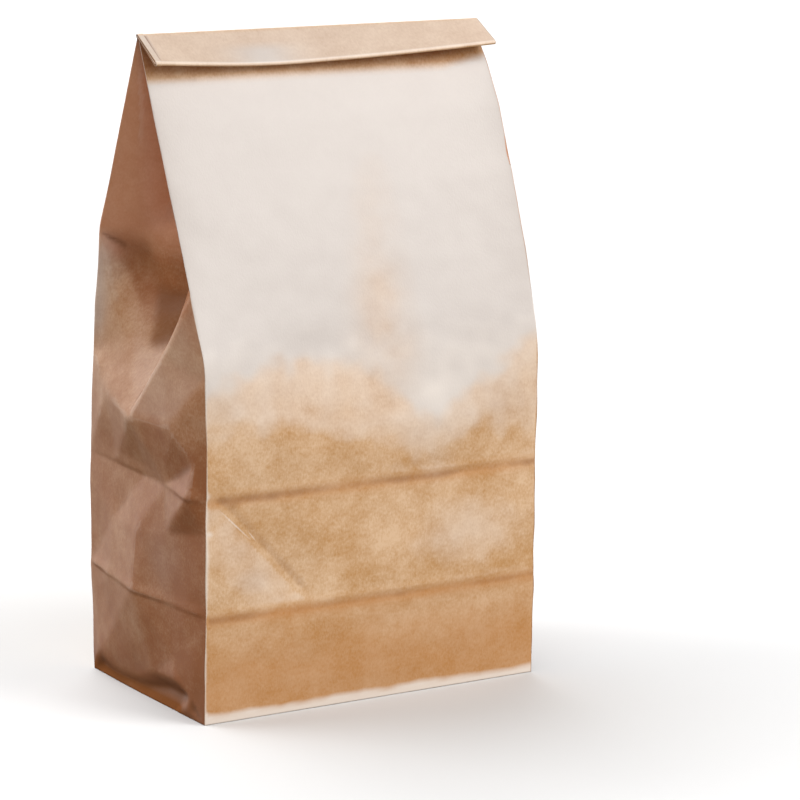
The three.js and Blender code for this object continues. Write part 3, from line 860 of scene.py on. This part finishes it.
def kraft_paper(look):
    """Machine-glazed kraft paper: brown unbleached fibres pressed smooth on a hot drum.

    The eye sees a cloudy tan with fine fibre flecks, a soft sheen on the smooth side, painted shade where a
    fold goes in and pale broken fibres with a painted highlight where it comes out.  Its colour also holds a
    painted sheen, painted shade on the gussets and under the flap, and a red brown that stands in for warm
    bounced light.
    """
    material = bpy.data.materials.new("machine_glazed_kraft_paper")
    material.use_nodes = True
    tree = material.node_tree
    tree.nodes.clear()
    sheet = add_node(tree, "UVMap", uv_map="sheet").outputs["UV"]
    wear, sheen, depth, aged, ruddy, glaze = (
        add_node(tree, "Attribute", attribute_name=name).outputs["Fac"]
        for name in ("wear", "sheen", "depth", "aged", "ruddy", "gloss"))
    grain = add_node(tree, "Mapping", {"Vector": sheet, "Scale": (1, 0.4, 1)}).outputs["Vector"]

    # Fibre clumps of 1.3 mm, clouds of 5 mm, drifts of 22 mm, and fibres of 0.2 mm drawn 0.6 mm wide so
    # that they show.
    clumps = add_node(tree, "TexNoise", {"Vector": sheet, "Scale": 1000 / 1.3, "Detail": 3.0})
    clouds = add_node(tree, "TexNoise", {"Vector": sheet, "Scale": 1000 / 5, "Detail": 4.0})
    drifts = add_node(tree, "TexNoise", {"Vector": sheet, "Scale": 1000 / 22, "Detail": 4.0})
    fibres = add_node(tree, "TexNoise", {"Vector": grain, "Scale": 1000 / 0.6, "Detail": 2.0})
    mixed = add_node(tree, "Math", {0: clumps.outputs["Fac"], 1: fibres.outputs["Fac"]}, operation="ADD")
    patched = add_node(tree, "Math", {0: clouds.outputs["Fac"], 1: 1.1, 2: mixed.outputs[0]},
                       operation="MULTIPLY_ADD")
    cloudy = add_node(tree, "Math", {0: drifts.outputs["Fac"], 1: 1.9, 2: patched.outputs[0]},
                      operation="MULTIPLY_ADD")
    tone = add_node(tree, "MapRange", {"Value": cloudy.outputs[0], "From Min": 1.95, "From Max": 3.0})
    paper = blend(tree, tone.outputs[0], (*look.deep, 1), (*look.tan, 1))
    patchy = add_node(tree, "MapRange", {"Value": tone.outputs[0], "To Min": 1.12, "To Max": 0.84})
    # Painted shade: the depth mark deepens the paper towards dark tan, less where the paper is paler.
    deepened = add_node(tree, "Math", {0: depth, 1: patchy.outputs[0]}, operation="MULTIPLY",
                        use_clamp=True)
    deeper = blend(tree, deepened.outputs[0], paper, (*look.dark, 1))
    # Painted shade: golden brown at the foot of the front and under its folds.
    browned = blend(tree, aged, deeper, (*look.foot, 1))
    # Painted light: red brown for the warm light bounced inside the tucked-in top of the gussets.
    flushed = blend(tree, ruddy, browned, (*look.ruddy, 1))
    # Painted highlight: the pale sheen.
    paled = blend(tree, sheen, flushed, (*look.pale, 1))
    # Worn fibres, painted highlights and a painted reflection, with the scuffs, lighten the paper.
    raised = add_node(tree, "MapRange", {"Value": wear, "From Min": 0.25, "From Max": 1.0, "To Max": 0.8})
    white = raised.outputs[0]
    for x, z, length, width, angle, strength in SCUFFS:
        spot = add_node(tree, "Mapping", {
            "Vector": sheet, "Location": ((2 * HALF_GUSSET + HALF_PANEL + x) * MM, z * MM, 0),
            "Rotation": (0, 0, math.radians(angle)), "Scale": (length * MM, width * MM, 1)},
            vector_type="TEXTURE")
        streak = add_node(tree, "TexGradient", {"Vector": spot.outputs[0]}, gradient_type="SPHERICAL")
        white = add_node(tree, "Math", {0: streak.outputs["Fac"], 1: strength, 2: white},
                         operation="MULTIPLY_ADD", use_clamp=True).outputs[0]
    highlighted = blend(tree, white, paled, (*look.worn, 1))
    # Painted shade in creases and hollows darkens the paper.
    sunk = add_node(tree, "MapRange", {"Value": wear, "From Min": -0.15, "From Max": -1.0, "To Max": 0.8})
    creased = blend(tree, sunk.outputs[0], highlighted, (*look.crease, 1))
    gloss = add_node(tree, "MapRange", {"Value": mixed.outputs[0], "From Min": 0.7, "From Max": 1.3,
                                        "To Min": 0.38, "To Max": 0.46})
    tooth = add_node(tree, "Bump", {"Height": mixed.outputs[0], "Strength": 0.12, "Distance": 0.0003})
    shader = add_node(tree, "BsdfPrincipled", {
        "Base Color": creased, "Roughness": gloss.outputs[0], "Normal": tooth.outputs[0],
        "IOR": 1.5, "Specular IOR Level": glaze})
    add_node(tree, "OutputMaterial", {"Surface": shader.outputs[0]})
    return material


def studio_floor(look):
    """Matt white studio board, with the faint unevenness of a painted sheet."""
    material = bpy.data.materials.new("matt_white_board")
    material.use_nodes = True
    tree = material.node_tree
    tree.nodes.clear()
    place = add_node(tree, "TexCoord").outputs["Object"]
    paint = add_node(tree, "TexNoise", {"Vector": place, "Scale": 1000 / 60, "Detail": 2.0})
    gloss = add_node(tree, "MapRange", {"Value": paint.outputs["Fac"], "To Min": 0.8, "To Max": 0.9})
    shader = add_node(tree, "BsdfPrincipled", {
        "Base Color": (*look.floor, 1), "Roughness": gloss.outputs[0], "Specular IOR Level": 0.2})
    add_node(tree, "OutputMaterial", {"Surface": shader.outputs[0]})
    return material


def show(name, mesh, material):
    """Put a piece of the bag in the scene, riding on its one body in place of the plain solid."""
    piece = bpy.data.objects.new(name, mesh)
    bpy.context.scene.collection.objects.link(piece)
    mesh.materials.append(material)
    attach(piece, "root")
    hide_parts("paper_bag")
    return piece


class PAPERBAG_OT_skin(bpy.types.Operator):
    """Build the bag's paper: panels, gussets and rolled mouth as one folded sheet"""
    bl_idname = "paper_bag.skin"
    bl_label = "Paper Skin"

    def execute(self, context):
        sizes = context.scene.paper_bag_sizes
        cell = sizes.cell / MM
        faces, place, around = sheet_columns((2 * HALF_GUSSET, 2 * HALF_PANEL) * 2, cell)
        rise = sheet_rows(cell)
        body = body_rows(faces, place, rise)
        mouth = mouth_rows(faces, place, sizes.flap_length / MM)
        rows = np.concatenate([body, mouth])

        # Folded edges stay sharp, and the thin layers of the mouth keep their order.
        folds = np.abs(np.abs(place) - 1) < 1e-6
        held = np.zeros(rows.shape[:2])
        held[:, folds] = 0.75
        held[len(body) - 6:] = 1.0
        rows = soften(rows, CREASE_ROUNDS, held)

        # The tucked-in part of the left gusset falls in soft hollows, with one hard crease at the notch.
        across = np.where(faces == 0, HALF_GUSSET * place, -HALF_GUSSET)
        up = np.append(rise * NECK_UP, np.full(len(mouth), 300))[:, None]
        loose = fade(across - line(up, [(118, -1), (134, 0), (146, 4)]), 0, 8) * fade(across, 41, 34)
        loose = loose * fade(up, 120, 128) * fade(up, 262, 252)
        rows = soften(rows, SAG_ROUNDS, 1 - loose)

        normals = grid_normals(rows)
        slack = fade(rows[..., 2], 250, 190) * fade(rows[..., 2], 0, 12)
        cockle = sizes.cockle / MM * slack * wave_mix(rows, COCKLE)
        rows += (cockle + crinkle(rows, faces))[..., None] * normals

        # The bottom edge is folded sharp, and the paper under it runs in over the flaps.
        rows[1, :, 2] = 0.1
        rows[2, :, 2] = 0.6
        rows[0] *= (1 - EDGE_TUCK / HALF_PANEL, 1 - EDGE_TUCK / HALF_GUSSET, 0)
        rows[0, :, 2] = 0.5

        mesh = self.grid_mesh(rows, faces, place, around, len(body))
        mesh.transform(Matrix.Diagonal((
            sizes.panel_width / (2 * HALF_PANEL * MM), sizes.gusset_width / (2 * HALF_GUSSET * MM),
            sizes.ridge_height / (RIDGE * MM), 1)))
        show("paper_bag_skin", mesh, kraft_paper(context.scene.paper_bag_look))
        return {"FINISHED"}

    def grid_mesh(self, rows, faces, place, sheet_x, body):
        """Mesh of the grid, with the flat sheet as its UV map and the finish of each spot."""
        tall, wide = rows.shape[:2]
        corners = np.arange(tall * wide).reshape(tall, wide)
        right = np.roll(corners, -1, axis=1)
        quads = np.stack([corners[:-1], right[:-1], right[1:], corners[1:]], axis=-1).reshape(-1, 4)
        base = corners[0][::-1]
        mesh = bpy.data.meshes.new("paper_bag_skin")
        mesh.from_pydata((rows.reshape(-1, 3) * MM).tolist(), [], quads.tolist() + [base.tolist()])
        mesh.shade_smooth()

        rise = np.linalg.norm(np.diff(rows, axis=0), axis=2).mean(axis=1)
        sheet_y = np.concatenate([[0], np.cumsum(rise)])
        column, row = np.meshgrid(np.arange(wide), np.arange(tall - 1))
        flat = np.stack([
            np.stack([sheet_x[column], sheet_y[row]], axis=-1),
            np.stack([sheet_x[column + 1], sheet_y[row]], axis=-1),
            np.stack([sheet_x[column + 1], sheet_y[row + 1]], axis=-1),
            np.stack([sheet_x[column], sheet_y[row + 1]], axis=-1)], axis=2).reshape(-1, 2)
        flat = np.concatenate([flat, rows[0, ::-1, :2]]) * MM
        mesh.uv_layers.new(name="sheet").data.foreach_set("uv", flat.ravel())

        for name, values in paper_marks(rows, faces, place, body).items():
            layer = mesh.attributes.new(name, "FLOAT", "POINT")
            layer.data.foreach_set("value", values.ravel().astype(np.float32))
        return mesh


class PAPERBAG_OT_base(bpy.types.Operator):
    """Build the block bottom: two folded ends and the two flaps glued across them"""
    bl_idname = "paper_bag.base"
    bl_label = "Block Bottom"

    def execute(self, context):
        sizes = context.scene.paper_bag_sizes
        half_x = sizes.panel_width / MM / 2 - FLAP_INSET[0]
        half_y = sizes.gusset_width / MM / 2 - FLAP_INSET[1]
        ends = [[(side * half_x, -half_y), (side * half_x, half_y), (side * (half_x - half_y), 0)]
                for side in (-1, 1)]
        tip = half_x - half_y - FLAP_LAP
        flaps = [[(side * half_x, side * half_y), (-side * half_x, side * half_y),
                  (-side * tip, -side * FLAP_LAP), (side * tip, -side * FLAP_LAP)] for side in (-1, 1)]
        build = bmesh.new()
        layer = build.loops.layers.uv.new("sheet")
        for outline, (low, high) in zip(ends + flaps, (END_LAYER, END_LAYER, *FLAP_LAYERS)):
            bottom = [build.verts.new((x * MM, y * MM, low * MM)) for x, y in outline]
            top = [build.verts.new((x * MM, y * MM, high * MM)) for x, y in outline]
            count = len(outline)
            build.faces.new(bottom[::-1])
            build.faces.new(top)
            for i in range(count):
                j = (i + 1) % count
                build.faces.new((bottom[i], bottom[j], top[j], top[i]))
        bmesh.ops.recalc_face_normals(build, faces=build.faces)
        for face in build.faces:
            for loop in face.loops:
                loop[layer].uv = loop.vert.co.xy
        mesh = bpy.data.meshes.new("paper_bag_base")
        build.to_mesh(mesh)
        build.free()
        show("paper_bag_base", mesh, bpy.data.materials["machine_glazed_kraft_paper"])
        return {"FINISHED"}


class PAPERBAG_OT_studio(bpy.types.Operator):
    """Set up the pale floor, the soft studio lights and the camera"""
    bl_idname = "paper_bag.studio"
    bl_label = "Studio"

    def execute(self, context):
        scene = context.scene
        look = scene.paper_bag_studio
        mesh = bpy.data.meshes.new("studio_floor")
        build = bmesh.new()
        bmesh.ops.create_grid(build, x_segments=8, y_segments=8, size=9)
        build.to_mesh(mesh)
        build.free()
        mesh.materials.append(studio_floor(look))
        floor = bpy.data.objects.new("studio_floor", mesh)
        scene.collection.objects.link(floor)
        floor.visible_diffuse = False
        floor.visible_glossy = False

        for name, (place, aim, size) in SOFTBOXES.items():
            self.softbox(name + "_softbox", getattr(look, name), place, aim, size)

        world = bpy.data.worlds.new("studio_room")
        world.use_nodes = True
        tree = world.node_tree
        tree.nodes.clear()
        way = add_node(tree, "TexCoord").outputs["Generated"]
        glows = []
        for (toward, start), strength in zip(GLOWS, (look.backdrop, look.front)):
            facing = add_node(tree, "VectorMath", {0: way, 1: toward}, operation="DOT_PRODUCT")
            glows.append(add_node(tree, "MapRange", {
                "Value": facing.outputs["Value"], "From Min": start, "From Max": 0.95, "To Min": 0.04,
                "To Max": strength}))
        both = add_node(tree, "Math", {0: glows[0].outputs[0], 1: glows[1].outputs[0]}, operation="ADD")
        room = add_node(tree, "Background", {"Color": (1, 1, 1, 1), "Strength": both.outputs[0]})
        add_node(tree, "OutputWorld", {"Surface": room.outputs[0]})
        scene.world = world
        scene.view_settings.view_transform = "Standard"

        lens = bpy.data.cameras.new("photo_camera")
        lens.lens = CAMERA_LENS
        lens.sensor_width = CAMERA_SENSOR
        lens.clip_end = 50
        camera = bpy.data.objects.new("photo_camera", lens)
        camera.location = CAMERA_PLACE
        aim = Vector(CAMERA_AIM) - camera.location
        camera.rotation_euler = aim.to_track_quat("-Z", "Y").to_euler()
        scene.collection.objects.link(camera)
        scene.camera = camera
        return {"FINISHED"}

    def softbox(self, name, power, place, aim, size):
        """Add a large rectangular light that faces a point."""
        light = bpy.data.lights.new(name, "AREA")
        light.energy = power
        light.shape = "RECTANGLE"
        light.size, light.size_y = size
        lamp = bpy.data.objects.new(name, light)
        lamp.location = place
        lamp.rotation_euler = (Vector(aim) - lamp.location).to_track_quat("-Z", "Y").to_euler()
        bpy.context.scene.collection.objects.link(lamp)


class PAPERBAG_PT_panel(bpy.types.Panel):
    """Sizes, finishes and build steps of the paper bag"""
    bl_idname = "PAPERBAG_PT_panel"
    bl_label = "Paper Bag"
    bl_space_type = "VIEW_3D"
    bl_region_type = "UI"
    bl_category = "Paper Bag"

    def draw(self, context):
        for group in (context.scene.paper_bag_sizes, context.scene.paper_bag_look,
                      context.scene.paper_bag_studio):
            box = self.layout.box()
            for name in group.__annotations__:
                box.prop(group, name)
        for operator in STEPS:
            self.layout.operator(operator.bl_idname)


GROUPS = {"paper_bag_sizes": BagSizes, "paper_bag_look": PaperLook, "paper_bag_studio": StudioLook}
STEPS = (PAPERBAG_OT_skin, PAPERBAG_OT_base, PAPERBAG_OT_studio)


def register():
    for cls in (*GROUPS.values(), *STEPS, PAPERBAG_PT_panel):
        bpy.utils.register_class(cls)
    for name, group in GROUPS.items():
        setattr(bpy.types.Scene, name, bpy.props.PointerProperty(type=group))


def unregister():
    for name in GROUPS:
        delattr(bpy.types.Scene, name)
    for cls in (PAPERBAG_PT_panel, *reversed(STEPS), *reversed(list(GROUPS.values()))):
        bpy.utils.unregister_class(cls)


def main():
    register()
    bpy.ops.paper_bag.skin()
    bpy.ops.paper_bag.base()
    bpy.ops.paper_bag.studio()


if __name__ == "__main__":
    main()
